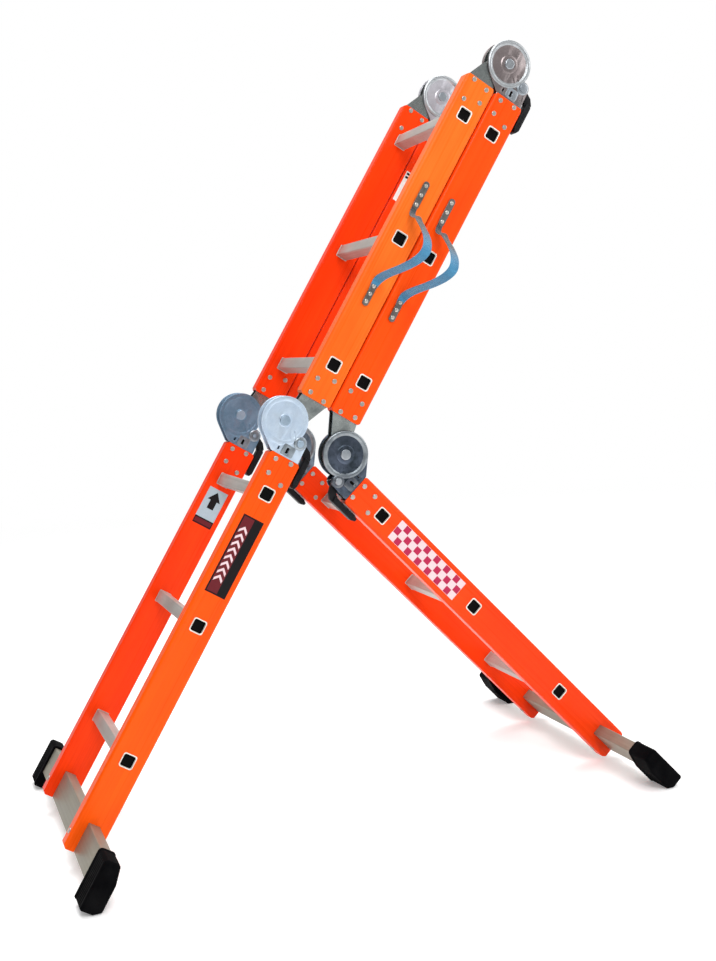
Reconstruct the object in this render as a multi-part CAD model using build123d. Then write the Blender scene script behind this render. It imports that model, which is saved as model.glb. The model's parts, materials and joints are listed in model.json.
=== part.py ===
from build123d import *
import math
import os

# Folding multi-position ladder: four sections of three rungs, joined by three pairs of
# locking hinges. Sections 1 and 4 stand on the floor through wide stabiliser bars; section 1
# runs straight on into section 2, section 3 is folded flat against section 2, and section 4
# is swung out as the prop. Millimetres, +Z up, +X from section 1's feet to section 4's feet.
# The "left" side is -Y and the "right" side is +Y.
#
# Every section has a frame of its own: x runs up the stile, z towards the side of the hinge
# pivot at the section's upper end, y across the width. A depth w is counted from a stile's
# outer face towards the ladder's middle.

# ---- driving dimensions ----
WIDTH = 350.0            # over the outer faces of the two stiles
RUNG_PITCH = 280.0
RUNG_SIZE = 25.0         # square rung tube
RUNG_WALL = 1.8
RUNG_RIM = 2.8           # swaged rims stand this far out round the tube, on both stile faces
OUTER_RIM_DEPTH = 1.4
INNER_RIM_DEPTH = 2.0
STILE_WIDTH = 68.0
STILE_DEPTH = 30.0
STILE_WALL = 4.0
INNER_WALL = 3.0         # the stile's wall towards the ladder's middle
STILE_CORNER = 6.0
STILE_BACK_CORNER = 3.0
HINGE_GAP = 62.0         # stile end to hinge axis
END_CHAMFER = 5.0
RUNG_TO_HINGE = RUNG_PITCH / 2.0
PIVOT_OFFSET = 35.0      # hinge axis from the stile's centre line
FOOT_LENGTH = 190.0      # lowest rung to the stile's foot end
OPEN_ANGLE = 105.0       # between sections 3 and 4 as the ladder stands

BAR_HEIGHT = 60.0        # along the stile
BAR_THICK = 24.0
BAR_WALL = 2.0
BAR_LENGTH = 738.0
BAR_CORNER = 2.5
BAR_RIVET_R = 3.0
BAR_RIVET_HEAD_R = 5.5
BAR_RIVET_HEAD = 1.8
BOOT_START = 315.0       # from the middle plane to the boot's open end
BOOT_END = 379.0
BOOT_TOP = 35.0          # boot edges from the bar's centre: up the stile, down, and sideways
BOOT_TOE = 62.0
BOOT_BACK = 17.0
BOOT_FRONT_TOP = 15.0
BOOT_FRONT = 24.0
BOOT_SLOPE = 36.0        # length of the flare below the front's upper part
BOOT_CORNER = 8.0
BOOT_END_EDGE = 5.0
SOLE_CUT = 8.0           # flat on the lowest corner, as a depth from the sharp corner

DISC_R = 47.0
RIM_WIDTH = 9.0          # raised ring round the cover plate's dish
INDEX_R = 36.0
LOBE_R = 45.0            # the index plate's edge on the side that the latch never reaches
LOBE_START = 30.0
PIVOT_R = 8.0
PIVOT_HEAD_R = 10.5
PIN_R = 4.0
PIN_HEAD_R = 7.0
HUB_R = 17.0             # pad round the pivot, and the hub between the index plates
BOSS_R = 13.0            # raised boss round the latch pin
EAR_R = 14.0             # the cover plate's ear round the latch pin
RUN_CLEARANCE = 0.05
PLATE = 3.0
PIN_X = -25.0            # latch pin, from the hinge axis
PIN_Z = -48.0
TANG_END = 121.0
TANG_PLAY = 2.6          # tang's edge to the inside of the stile's flange
NOSE_X = -40.0           # latch nose, from the hinge axis
NOSE_Z = -8.0
NOTCH_FOLDS = (0.0, 75.0, 150.0, 180.0)
RIVETS = ((68.0, -50.0), (72.0, -18.0), (102.0, -18.0), (113.0, -51.0))
RIVET_R = 3.0

# hinge layers, as depths from the stile's outer face
OUTER_DISC = 0.8
INDEX_OUTER = 4.2
INDEX_INNER = 22.8
INNER_TANG = 23.8
INNER_DISC = 26.2

STRAP_WIDTH = 19.0
STRAP_THICK = 2.0
STRAP_SHIFT = {2: 3.0, 3: 10.0}      # off the stile's centre line, for each section
# strap centre line: height on the section, distance out from the stile face
STRAP_ROUTE = ((405.0, 1.1), (334.0, 1.1), (298.0, 84.0), (262.0, 146.0), (226.0, 172.0),
               (207.0, 96.0), (196.0, 1.1), (130.0, 1.1))
STRAP_BEND = 14.0
CLAMPS = ((405.0, 345.0), (181.0, 130.0))
CLAMP_WIDTH = 20.0
CLAMP_THICK = 1.6

HALF = WIDTH / 2.0
TOP_HINGE = 2.0 * RUNG_PITCH + RUNG_TO_HINGE
BAR_X = -FOOT_LENGTH + BAR_HEIGHT / 2.0
SIDES = {"left": -1, "right": 1}
STANDING = (1, 4)        # sections that carry a stabiliser bar
TURNED_ROUND = (4,)      # sections whose own y axis points to the ladder's left

# where a hinge half sits on its section: x, z, turned (its stile lies above the axis),
# flipped (the pivot is on the -z side)
UPPER_COVER = (TOP_HINGE, PIVOT_OFFSET, False, False)
UPPER_INDEX = (TOP_HINGE, -PIVOT_OFFSET, False, True)
LOWER_INDEX = (-RUNG_TO_HINGE, PIVOT_OFFSET, True, False)
LOWER_INDEX_BACK = (-RUNG_TO_HINGE, -PIVOT_OFFSET, True, True)
# hinge: section with the cover plates and their place, section with the index plates
HINGES = {
    "middle_hinge": (1, UPPER_COVER, 2, LOWER_INDEX),
    "top_hinge": (3, UPPER_COVER, 2, UPPER_INDEX),
    "rear_hinge": (4, UPPER_COVER, 3, LOWER_INDEX_BACK),
}
HINGE_ENDS = {
    1: (UPPER_COVER,),
    2: (LOWER_INDEX, UPPER_INDEX),
    3: (UPPER_COVER, LOWER_INDEX_BACK),
    4: (UPPER_COVER,),
}


# ---- lean of the standing ladder ----
# Both soles lie in one level plane, which fixes how the 105 degree opening is shared.
def solve_lean():
    reach = TOP_HINGE - BAR_X + BOOT_TOE
    front = 3.0 * PIVOT_OFFSET - BOOT_FRONT
    back = PIVOT_OFFSET + BOOT_FRONT
    apex = math.radians(180.0 - OPEN_ANGLE)
    cos_part = reach * (1.0 - math.cos(apex)) - back * math.sin(apex)
    sin_part = reach * math.sin(apex) + front - back * math.cos(apex)
    return math.atan2(cos_part, sin_part)


LEAN = solve_lean()
PROP = math.radians(180.0 - OPEN_ANGLE) - LEAN


def along(angle, distance, across=0.0):
    """Point in the XZ plane: up a line that leans to +X, then across it towards -X."""
    dx = distance * math.sin(angle) - across * math.cos(angle)
    dz = distance * math.cos(angle) + across * math.sin(angle)
    return Vector(dx, 0, dz)


SOLE_DROP = along(LEAN, BAR_X - BOOT_TOE, -BOOT_FRONT).Z + SOLE_CUT
BASE_1 = Vector(0, 0, -SOLE_DROP)
HINGE_12 = BASE_1 + along(LEAN, TOP_HINGE, PIVOT_OFFSET)
HINGE_23 = BASE_1 + along(LEAN, 3.0 * RUNG_PITCH + TOP_HINGE, -PIVOT_OFFSET)
HINGE_34 = BASE_1 + along(LEAN, TOP_HINGE, -3.0 * PIVOT_OFFSET)
BASE_4 = HINGE_34 - Vector(-TOP_HINGE * math.sin(PROP), 0, TOP_HINGE * math.cos(PROP))
BASE_4 = BASE_4 - Vector(math.cos(PROP), 0, math.sin(PROP)) * PIVOT_OFFSET

UP_1 = (math.sin(LEAN), 0, math.cos(LEAN))
OUT_1 = (-math.cos(LEAN), 0, math.sin(LEAN))
UP_4 = (-math.sin(PROP), 0, math.cos(PROP))
OUT_4 = (math.cos(PROP), 0, math.sin(PROP))
FRAMES = {
    1: Plane(origin=BASE_1, x_dir=UP_1, z_dir=OUT_1),
    2: Plane(origin=BASE_1 + along(LEAN, 3.0 * RUNG_PITCH), x_dir=UP_1, z_dir=OUT_1),
    3: Plane(origin=BASE_1 + along(LEAN, 3.0 * RUNG_PITCH, -2.0 * PIVOT_OFFSET),
             x_dir=UP_1, z_dir=OUT_1),
    4: Plane(origin=BASE_4, x_dir=UP_4, z_dir=OUT_4),
}


# ---- helpers ----
def layer(sketch, w0, w1, side):
    """Extrude an outline drawn in a section's x-z plane between two depths in one stile."""
    start = side * (HALF - (w0 if side > 0 else w1))
    plane = Plane(origin=(0, start, 0), x_dir=(1, 0, 0), z_dir=(0, -1, 0))
    return extrude(plane * sketch, amount=w1 - w0)


def outline(*points):
    return make_face(Polyline(*points, close=True))


def rectangle(x0, x1, z0, z1):
    return Pos((x0 + x1) / 2, (z0 + z1) / 2) * Rectangle(x1 - x0, z1 - z0)


def round_all(solid, radius, axis):
    """Fillet the edges of a solid that run along one axis."""
    return fillet(solid.edges().filter_by(axis), radius)


def polar(radius, degrees):
    angle = math.radians(degrees)
    return (radius * math.cos(angle), radius * math.sin(angle))


# ---- sections ----
def stile(number, side):
    """Fibreglass box section with holes for the rungs, the bar and the hinge rivets."""
    standing = number in STANDING
    x_low = -FOOT_LENGTH if standing else -RUNG_TO_HINGE + HINGE_GAP
    x_high = TOP_HINGE - HINGE_GAP
    profile = Rectangle(STILE_DEPTH, STILE_WIDTH)
    by_depth = profile.vertices().sort_by(Axis.X)
    profile = fillet(by_depth[-2:], STILE_CORNER)
    profile = fillet(profile.vertices().sort_by(Axis.X)[:2], STILE_BACK_CORNER)
    hollow = Rectangle(STILE_DEPTH - STILE_WALL - INNER_WALL, STILE_WIDTH - 2 * STILE_WALL)
    hollow = fillet(hollow.vertices(), STILE_CORNER - STILE_WALL + 0.5)
    tube = profile - Pos((INNER_WALL - STILE_WALL) / 2, 0) * hollow
    if side < 0:
        tube = mirror(tube, about=Plane.YZ)
    centre = side * (HALF - STILE_DEPTH / 2)
    section = Plane(origin=(x_low, centre, 0), x_dir=(0, 1, 0), z_dir=(1, 0, 0))
    body = extrude(section * tube, amount=x_high - x_low)
    for step in range(3):
        hole = Pos(step * RUNG_PITCH, centre, 0)
        body -= hole * Box(RUNG_SIZE, 2 * STILE_DEPTH, RUNG_SIZE)
    if standing:
        place = Pos(BAR_X, centre, 0)
        body -= place * Box(BAR_HEIGHT, 2 * STILE_DEPTH, BAR_THICK)
        body -= place * Cylinder(BAR_RIVET_R, 2 * STILE_WIDTH)
    for x_end, inward in ((x_high, -1), (x_low, 1)):
        for edge in (-1, 1):
            z = edge * STILE_WIDTH / 2
            corner = outline((x_end, z), (x_end + inward * END_CHAMFER, z),
                             (x_end, z - edge * END_CHAMFER))
            body -= layer(corner, -1.0, STILE_DEPTH + 1.0, side)
    for spot in HINGE_ENDS[number]:
        for hole in at_hinge(rivet_holes(side), *spot):
            body -= hole
    return body


def rung(x):
    """Square tube through both stiles, held by a swaged rim on each face of each stile."""
    tube = Box(RUNG_SIZE, WIDTH, RUNG_SIZE)
    across = RUNG_SIZE + 2 * RUNG_RIM
    for side in (-1, 1):
        outer_y = side * (HALF + OUTER_RIM_DEPTH / 2)
        inner_y = side * (HALF - STILE_DEPTH - INNER_RIM_DEPTH / 2)
        for y, depth in ((outer_y, OUTER_RIM_DEPTH), (inner_y, INNER_RIM_DEPTH)):
            rim = Pos(0, y, 0) * Box(across, depth, across)
            tube += round_all(rim, RUNG_RIM, Axis.Y)
    bore = RUNG_SIZE - 2 * RUNG_WALL
    tube -= round_all(Box(bore, WIDTH + 10, bore), 1.5, Axis.Y)
    return Pos(x, 0, 0) * tube


def stabiliser_bar():
    tube = round_all(Box(BAR_HEIGHT, BAR_LENGTH, BAR_THICK), BAR_CORNER, Axis.Y)
    inside = Box(BAR_HEIGHT - 2 * BAR_WALL, BAR_LENGTH + 2, BAR_THICK - 2 * BAR_WALL)
    tube -= inside
    for side in (-1, 1):
        hole = Pos(0, side * (HALF - STILE_DEPTH / 2), 0)
        tube -= hole * Cylinder(BAR_RIVET_R, BAR_THICK + 2)
    return Pos(BAR_X, 0, 0) * tube


def boot(side, floor_angle):
    """Rubber boot on the bar's end; its toe corner is cut level with the floor."""
    toe = outline((-BOOT_TOE, BOOT_BACK), (BOOT_TOP, BOOT_BACK), (BOOT_TOP, -BOOT_FRONT_TOP),
                  (BOOT_TOP - BOOT_SLOPE, -BOOT_FRONT), (-BOOT_TOE, -BOOT_FRONT))
    length = BOOT_END - BOOT_START
    start = side * (BOOT_START if side < 0 else BOOT_END)
    plane = Plane(origin=(0, start, 0), x_dir=(1, 0, 0), z_dir=(0, -1, 0))
    body = extrude(plane * toe, amount=length)
    body = round_all(body, BOOT_CORNER, Axis.Y)
    drop = BOOT_TOE * math.cos(floor_angle) + BOOT_FRONT * math.sin(floor_angle) - SOLE_CUT
    down = Vector(-math.cos(floor_angle), 0, -math.sin(floor_angle))
    floor = Plane(origin=down * drop, z_dir=down)
    body -= extrude(floor * Rectangle(300, 1200), amount=60)
    end_face = body.faces().sort_by(Axis.Y)[-1 if side > 0 else 0]
    body = fillet(end_face.edges(), BOOT_END_EDGE)
    cavity = Box(BAR_HEIGHT, BAR_LENGTH, BAR_THICK)
    body -= round_all(cavity, BAR_CORNER, Axis.Y)
    return Pos(BAR_X, 0, 0) * body


def bar_rivet(side):
    """Rivet with two domed heads, through the stile's edges and the bar."""
    pin = Cylinder(BAR_RIVET_R, STILE_WIDTH + BAR_RIVET_HEAD)
    for end in (-1, 1):
        middle = end * (STILE_WIDTH + BAR_RIVET_HEAD) / 2
        head = Pos(0, 0, middle) * Cylinder(BAR_RIVET_HEAD_R, BAR_RIVET_HEAD)
        rim = head.faces().sort_by(Axis.Z)[-1 if end > 0 else 0].edges()
        pin += fillet(rim, BAR_RIVET_HEAD * 0.8)
    return Pos(BAR_X, side * (HALF - STILE_DEPTH / 2), 0) * pin


# ---- hinges: drawn about the axis, with the plate's own stile towards -x and the latch at -z
def tang_outline(x_start):
    half = STILE_WIDTH / 2 - STILE_WALL - TANG_PLAY
    return rectangle(-TANG_END, x_start, -PIVOT_OFFSET - half, -PIVOT_OFFSET + half)


def tangent_point(x, z, radius):
    """Where a line from a point touches a circle about the axis, on the pivot side."""
    angle = math.atan2(z, x) % (2 * math.pi) - math.acos(radius / math.hypot(x, z))
    return (radius * math.cos(angle), radius * math.sin(angle))


def cover_outline():
    stile_end = -HINGE_GAP + 0.5
    neck = outline((-4, -46), (-30, -61), (stile_end, -63), (stile_end, -2),
                   tangent_point(stile_end, -2, DISC_R), (0, 0))
    return Circle(DISC_R) + neck + Pos(PIN_X, PIN_Z) * Circle(EAR_R)


def cover_plates(side):
    """The two cover plates of one hinge, joined to the stile by their tangs."""
    joggle = rectangle(-HINGE_GAP + 0.5, -54, -63, -7)
    outer = layer(cover_outline(), OUTER_DISC, OUTER_DISC + PLATE, side)
    outer += layer(joggle, OUTER_DISC + 1, STILE_WALL + PLATE, side)
    outer += layer(tang_outline(-54), STILE_WALL, STILE_WALL + PLATE, side)
    rim = Circle(DISC_R) - Circle(DISC_R - RIM_WIDTH)
    outer += layer(rim, OUTER_DISC - 2.0, OUTER_DISC, side)
    outer += layer(Circle(HUB_R), OUTER_DISC - 1.0, OUTER_DISC, side)
    outer += layer(Pos(PIN_X, PIN_Z) * Circle(BOSS_R), OUTER_DISC - 2.0, OUTER_DISC, side)
    inner = layer(cover_outline(), INNER_DISC, INNER_DISC + PLATE, side)
    inner += layer(joggle, INNER_TANG, INNER_DISC + PLATE - 1, side)
    inner += layer(tang_outline(-54), INNER_TANG, INNER_TANG + PLATE, side)
    plates = []
    for plate in (outer, inner):
        bores = Circle(PIVOT_R) + Pos(PIN_X, PIN_Z) * Circle(PIN_R)
        for x, z in RIVETS:
            bores += Pos(-x, z) * Circle(RIVET_R)
        plates.append(plate - layer(bores, -4, STILE_DEPTH + 4, side))
    return plates


def index_outline():
    lobe = make_face([Line((0, 0), polar(LOBE_R, -LOBE_START)),
                      CenterArc((0, 0), LOBE_R, -LOBE_START, LOBE_START - 178),
                      Line(polar(LOBE_R, -178), (0, 0))])
    neck = outline((-30, -2), (0, -2), (-17, -41.5), (-HINGE_GAP, -62), (-HINGE_GAP, -7),
                   (-44, -4))
    shape = Circle(INDEX_R) + lobe + neck + tang_outline(-HINGE_GAP + 2)
    nose_tilt = math.degrees(math.atan2(-NOSE_Z, -NOSE_X))
    for fold in NOTCH_FOLDS:
        notch = rectangle(INDEX_R - 6, INDEX_R + 8, -4.6, 4.6)
        shape -= Rot(0, 0, fold - nose_tilt) * notch
    return shape


def index_plate(side):
    """The twin index plates of one hinge and the hub between them, as one welded piece."""
    shape = index_outline()
    body = layer(shape, INDEX_OUTER, INDEX_OUTER + PLATE, side)
    body += layer(shape, INDEX_INNER, INDEX_INNER + PLATE, side)
    body += layer(Circle(HUB_R), INDEX_OUTER, INDEX_INNER + 1, side)
    spacer = rectangle(-88, -82, -58, -12)
    body += layer(spacer, INDEX_OUTER, INDEX_INNER + 1, side)
    bores = Circle(PIVOT_R + RUN_CLEARANCE)
    for x, z in RIVETS:
        bores += Pos(-x, z) * Circle(RIVET_R)
    return body - layer(bores, -4, STILE_DEPTH + 4, side)


def headed_pin(x, z, radius, head_r, w_out, w_in, head, side):
    """A riveted pin with a domed head at each end."""
    spot = Pos(x, z)
    pin = layer(spot * Circle(radius), w_out - head / 2, w_in + head / 2, side)
    for w0, outer in ((w_out - head, True), (w_in, False)):
        cap = layer(spot * Circle(head_r), w0, w0 + head, side)
        far = (side > 0) == outer
        rim = cap.faces().sort_by(Axis.Y)[-1 if far else 0].edges()
        pin += fillet(rim, head * 0.8)
    return pin


def pivot_pins(side):
    """The hinge's main pivot and the latch's smaller pin."""
    back = INNER_DISC + PLATE
    pivot = headed_pin(0, 0, PIVOT_R, PIVOT_HEAD_R, OUTER_DISC - 1.0, back, 2.4, side)
    latch_pin = headed_pin(PIN_X, PIN_Z, PIN_R, PIN_HEAD_R, OUTER_DISC - 2.0, back, 2.0, side)
    return [pivot, latch_pin]


def latch_spring(side):
    """The torsion spring's coil, as the ring that it fills beside the lever's hub."""
    ring = Circle(8.0) - Circle(5.5)
    return layer(Pos(PIN_X, PIN_Z) * ring, 19.0, 22.4, side)


def latch_lever(side):
    """Bell crank: handle outside the stile's edge, nose under the index plates."""
    hub = Pos(PIN_X, PIN_Z) * Circle(9.5)
    link = outline((-17, -53), (-30, -78), (-40, -84), (-50, -84), (-50, -72), (-40, -66),
                   (-33, -54))
    arm = outline((-24, -39), (-34.5, -21), (-37.5, -12), (-37.5, -4), (-43, -4),
                  (-44.5, -21), (-34, -46))
    body = layer(hub + link + arm, 8.0, 18.5, side)
    nose = rectangle(NOSE_X - 3, NOSE_X + 3, NOSE_Z - 4, NOSE_Z + 4)
    body += layer(nose, INDEX_OUTER + 0.2, INNER_DISC - 0.5, side)
    handle = outline((-42, -71.5), (-100, -71.5), (-107, -75), (-107, -80), (-101, -84),
                     (-42, -83))
    grip = layer(handle, 4.0, 26.0, side)
    grip = round_all(grip, 1.5, Axis.Y)
    body += grip
    return body - layer(Pos(PIN_X, PIN_Z) * Circle(PIN_R + RUN_CLEARANCE), 0, 30, side)


def at_hinge(shapes, x, z, turned, flipped):
    """Set hinge pieces, drawn about the axis, on a section."""
    placed = []
    for shape in shapes:
        if turned != flipped:
            shape = mirror(shape, about=Plane.XY)
        if turned:
            shape = Rot(0, 180, 0) * shape
        placed.append(Pos(x, 0, z) * shape)
    return placed


def stile_rivets(side):
    pins = []
    for x, z in RIVETS:
        pins.append(headed_pin(-x, z, RIVET_R, 5.0, 0.0, STILE_DEPTH, 1.8, side))
    return pins


def rivet_holes(side):
    through = STILE_DEPTH + 1
    return [layer(Pos(-x, z) * Circle(RIVET_R), -1, through, side) for x, z in RIVETS]


# ---- carry straps ----
def strap(shift):
    """Webbing loop on the left stile's outer face, at its real length."""
    points = []
    for x, out in STRAP_ROUTE:
        points.append((x, -HALF - out, shift))
    path = FilletPolyline(*points, radius=STRAP_BEND)
    start = Plane(origin=points[0], x_dir=(0, 0, 1), z_dir=(-1, 0, 0))
    return sweep(start * Rectangle(STRAP_WIDTH, STRAP_THICK), path=path)


def strap_clamps(shift):
    """Riveted metal strips that hold the strap's two ends to the stile."""
    pieces = []
    half = CLAMP_WIDTH / 2
    w0 = -STRAP_THICK - 0.2
    for high, low in CLAMPS:
        strip = layer(rectangle(low, high, -half, half), w0 - CLAMP_THICK, w0, -1)
        for x in (low + 9, (low + high) / 2, high - 9):
            strip += layer(Pos(x, 0) * Circle(3.2), w0 - 2.8, w0 - 1.0, -1)
        pieces.append(Pos(0, 0, shift) * strip)
    return pieces


# ---- assembly ----
nodes = {}


def sides_of(number):
    """Each side's name with its direction along the section's own y axis."""
    sign = -1 if number in TURNED_ROUND else 1
    return [(label, sign * side) for label, side in SIDES.items()]


def put(name, number, shapes):
    frame = FRAMES[number]
    solids = shapes if isinstance(shapes, list) else [shapes]
    placed = [frame.location * solid for solid in solids]
    nodes[name] = placed


for number in FRAMES:
    tag = "section%d_" % number
    for label, side in sides_of(number):
        put(tag + "stile_" + label, number, stile(number, side))
    for step in range(3):
        put(tag + "rung_%d" % (step + 1), number, rung(step * RUNG_PITCH))
    if number in STANDING:
        put(tag + "stabiliser_bar", number, stabiliser_bar())
        bar_rivets = []
        for label, side in sides_of(number):
            put(tag + "boot_" + label, number, boot(side, LEAN if number == 1 else PROP))
            bar_rivets.append(bar_rivet(side))
        put(tag + "bar_rivets", number, bar_rivets)

rivets = {number: [] for number in FRAMES}
for name, (cover, cover_spot, index, index_spot) in HINGES.items():
    pins = []
    springs = []
    for label, side in sides_of(cover):
        put(name + "_covers_" + label, cover, at_hinge(cover_plates(side), *cover_spot))
        put(name + "_latch_" + label, cover, at_hinge([latch_lever(side)], *cover_spot))
        pins += at_hinge(pivot_pins(side), *cover_spot)
        springs += at_hinge([latch_spring(side)], *cover_spot)
        rivets[cover] += at_hinge(stile_rivets(side), *cover_spot)
    for label, side in sides_of(index):
        put(name + "_index_" + label, index, at_hinge([index_plate(side)], *index_spot))
        rivets[index] += at_hinge(stile_rivets(side), *index_spot)
    put(name + "_pins", cover, pins)
    put(name + "_latch_springs", cover, springs)
for number, pieces in rivets.items():
    put("section%d_rivets" % number, number, pieces)
for number, shift in STRAP_SHIFT.items():
    put("section%d_strap" % number, number, strap(shift))
    put("section%d_strap_clamps" % number, number, strap_clamps(shift))

# the origin is under the middle of the whole ladder, on the floor
boxes = [solid.bounding_box() for part in nodes.values() for solid in part]
low_x = min(box.min.X for box in boxes)
high_x = max(box.max.X for box in boxes)
SHIFT = Vector(-(low_x + high_x) / 2, 0, 0)

if __name__ == "__main__":
    os.makedirs("parts", exist_ok=True)
    for name, solids in nodes.items():
        moved = [Pos(SHIFT) * solid for solid in solids]
        whole = moved[0] if len(moved) == 1 else Compound(moved)
        export_step(whole, "parts/" + name + ".step")
    print("nodes", len(nodes))
    print("lean", math.degrees(LEAN), "prop", math.degrees(PROP))
    print("x", low_x, high_x, "z", min(box.min.Z for box in boxes), max(box.max.Z for box in boxes))
    for label, axis in (("12", HINGE_12), ("23", HINGE_23), ("34", HINGE_34)):
        print("hinge", label, axis + SHIFT)
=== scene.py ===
import bmesh
import bpy
import json
import math
from mathutils import Matrix, Vector


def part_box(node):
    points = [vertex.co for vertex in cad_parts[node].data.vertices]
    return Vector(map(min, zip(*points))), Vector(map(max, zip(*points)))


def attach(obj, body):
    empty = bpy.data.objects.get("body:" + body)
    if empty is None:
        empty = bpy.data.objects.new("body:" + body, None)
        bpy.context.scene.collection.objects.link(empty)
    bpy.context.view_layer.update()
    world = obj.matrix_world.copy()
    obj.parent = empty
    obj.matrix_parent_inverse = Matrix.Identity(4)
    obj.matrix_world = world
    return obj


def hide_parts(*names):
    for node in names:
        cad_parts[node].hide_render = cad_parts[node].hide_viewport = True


# Looks for the folding fibreglass ladder. Each section has a frame of its own, read from its
# rungs: x runs up the stile, z towards the side of the hinge pivot at its upper end, y across.
# Lengths are in metres; sizes of small parts are written in millimetres times MM.

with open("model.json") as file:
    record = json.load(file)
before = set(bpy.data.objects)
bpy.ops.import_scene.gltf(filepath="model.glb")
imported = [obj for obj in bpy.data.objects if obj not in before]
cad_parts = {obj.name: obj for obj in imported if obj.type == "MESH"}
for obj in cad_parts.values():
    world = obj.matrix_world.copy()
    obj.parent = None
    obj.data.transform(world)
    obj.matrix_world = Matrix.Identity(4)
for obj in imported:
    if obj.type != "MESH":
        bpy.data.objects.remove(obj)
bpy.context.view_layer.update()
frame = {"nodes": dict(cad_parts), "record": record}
MM = 0.001
SECTIONS = (1, 2, 3, 4)
SIDES = ("left", "right")
PROP = 4                 # this section's own frame is turned the other way round
HINGES = {"middle_hinge": 1, "top_hinge": 3, "rear_hinge": PROP}    # the section with the covers


# ---- places, read from the frame ----
def centre(node):
    low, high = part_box(node)
    return (low + high) / 2


def section_place(number):
    """Matrix of a section's own frame, with its origin at the lowest rung."""
    first = centre(f"section{number}_rung_1")
    up = (centre(f"section{number}_rung_3") - first).normalized()
    turn = -1 if number == PROP else 1
    out = Vector((-up.z, 0, up.x)) * turn
    place = Matrix((up, out.cross(up), out)).transposed().to_4x4()
    place.translation = first
    return place


PLACES = {number: section_place(number) for number in SECTIONS}
PITCH = (centre("section1_rung_2") - centre("section1_rung_1")).length
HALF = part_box("section1_stile_right")[1].y
STILE_DEPTH = 30.0       # of a stile from its outer to its inner face, in millimetres
BOOT_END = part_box("section1_boot_right")[1].y
BOOT_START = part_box("section1_boot_right")[0].y


def side_sign(number, side):
    """Direction along a section's own y axis of the ladder's left (-Y) or right (+Y) side."""
    sign = -1 if side == "left" else 1
    return -sign if number == PROP else sign


def joint_point(name):
    for joint in frame["record"]["behaviour"]["joints"]:
        if joint["name"].startswith(name) and "latch" not in joint["name"]:
            return Vector(joint["pos_m"])
    raise ValueError(name)


def hinge_place(name):
    """A hinge's frame: the cover section's directions, with the origin on the axis."""
    place = PLACES[HINGES[name]].copy()
    place.translation = joint_point(name)
    return place


# ---- mesh helpers ----
class Piece:
    """Gathers shapes with their materials into one mesh object."""

    def __init__(self, name, place=None):
        self.name = name
        self.place = place or Matrix.Identity(4)
        self.bm = bmesh.new()
        self.materials = []

    def add(self, shape, material):
        """Take over a bmesh, or a mesh, and give all its faces one material."""
        if isinstance(shape, bpy.types.Mesh):
            made = bmesh.new()
            made.from_mesh(shape)
            bpy.data.meshes.remove(shape)
            shape = made
        bmesh.ops.remove_doubles(shape, verts=shape.verts, dist=1e-6)
        bmesh.ops.recalc_face_normals(shape, faces=shape.faces)
        if material not in self.materials:
            self.materials.append(material)
        index = self.materials.index(material)
        for face in shape.faces:
            face.material_index = index
        part = bpy.data.meshes.new("part")
        shape.to_mesh(part)
        shape.free()
        self.bm.from_mesh(part)
        bpy.data.meshes.remove(part)

    def finish(self, body, slot=None, replaces=(), smooth=40):
        mesh = bpy.data.meshes.new(self.name)
        self.bm.transform(self.place)
        self.bm.to_mesh(mesh)
        self.bm.free()
        for material in self.materials:
            mesh.materials.append(material)
        mesh.polygons.foreach_set("use_smooth", [True] * len(mesh.polygons))
        mesh.set_sharp_from_angle(angle=math.radians(smooth))
        piece = bpy.data.objects.new(self.name, mesh)
        bpy.context.scene.collection.objects.link(piece)
        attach(piece, body)
        if replaces:
            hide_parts(*replaces)


def arc(cx, cz, radius, start, stop, steps):
    """Points round a circle, angles in degrees from +x towards +z."""
    points = []
    for i in range(steps + 1):
        a = math.radians(start + (stop - start) * i / steps)
        points.append((cx + radius * math.cos(a), cz + radius * math.sin(a)))
    return points


def rounded(points, radii, steps=5):
    """Replace each corner of a closed outline by a tangent arc."""
    result = []
    count = len(points)
    if isinstance(radii, (int, float)):
        radii = [radii] * count
    for i, corner in enumerate(points):
        here = Vector(corner)
        to_last = (Vector(points[i - 1]) - here).normalized()
        to_next = (Vector(points[(i + 1) % count]) - here).normalized()
        half_turn = to_last.angle(to_next) / 2
        reach = radii[i] / math.tan(half_turn)
        middle = here + (to_last + to_next).normalized() * radii[i] / math.sin(half_turn)
        a = here + to_last * reach - middle
        b = here + to_next * reach - middle
        start = math.atan2(a.y, a.x)
        sweep = (math.atan2(b.y, b.x) - start + math.pi) % (2 * math.pi) - math.pi
        for k in range(steps + 1):
            turn = start + sweep * k / steps
            spoke = Vector((math.cos(turn), math.sin(turn)))
            result.append(tuple(middle + spoke * radii[i]))
    return result


def box_outline(x0, x1, z0, z1, radius):
    return rounded([(x0, z0), (x1, z0), (x1, z1), (x0, z1)], radius)


def plate(outlines, w0, w1, side, edge):
    """Sheet between two depths from the stile's outer face, millimetres, with rounded edges."""
    curve = bpy.data.curves.new("outline", "CURVE")
    curve.dimensions = "2D"
    curve.fill_mode = "BOTH"
    curve.extrude = (w1 - w0) / 2 - edge
    curve.bevel_depth = edge
    curve.bevel_resolution = 2
    curve.offset = -edge
    for points in outlines:
        spline = curve.splines.new("POLY")
        spline.points.add(len(points) - 1)
        for point, (x, z) in zip(spline.points, points):
            point.co = (x, z, 0, 1)
        spline.use_cyclic_u = True
    holder = bpy.data.objects.new("outline", curve)
    mesh = bpy.data.meshes.new_from_object(holder)
    bpy.data.objects.remove(holder)
    bpy.data.curves.remove(curve)
    middle = (w0 + w1) / 2
    for vertex in mesh.vertices:
        x, z, depth = vertex.co
        vertex.co = (x * MM, side * (HALF - (middle + depth) * MM), z * MM)
    return mesh


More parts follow.
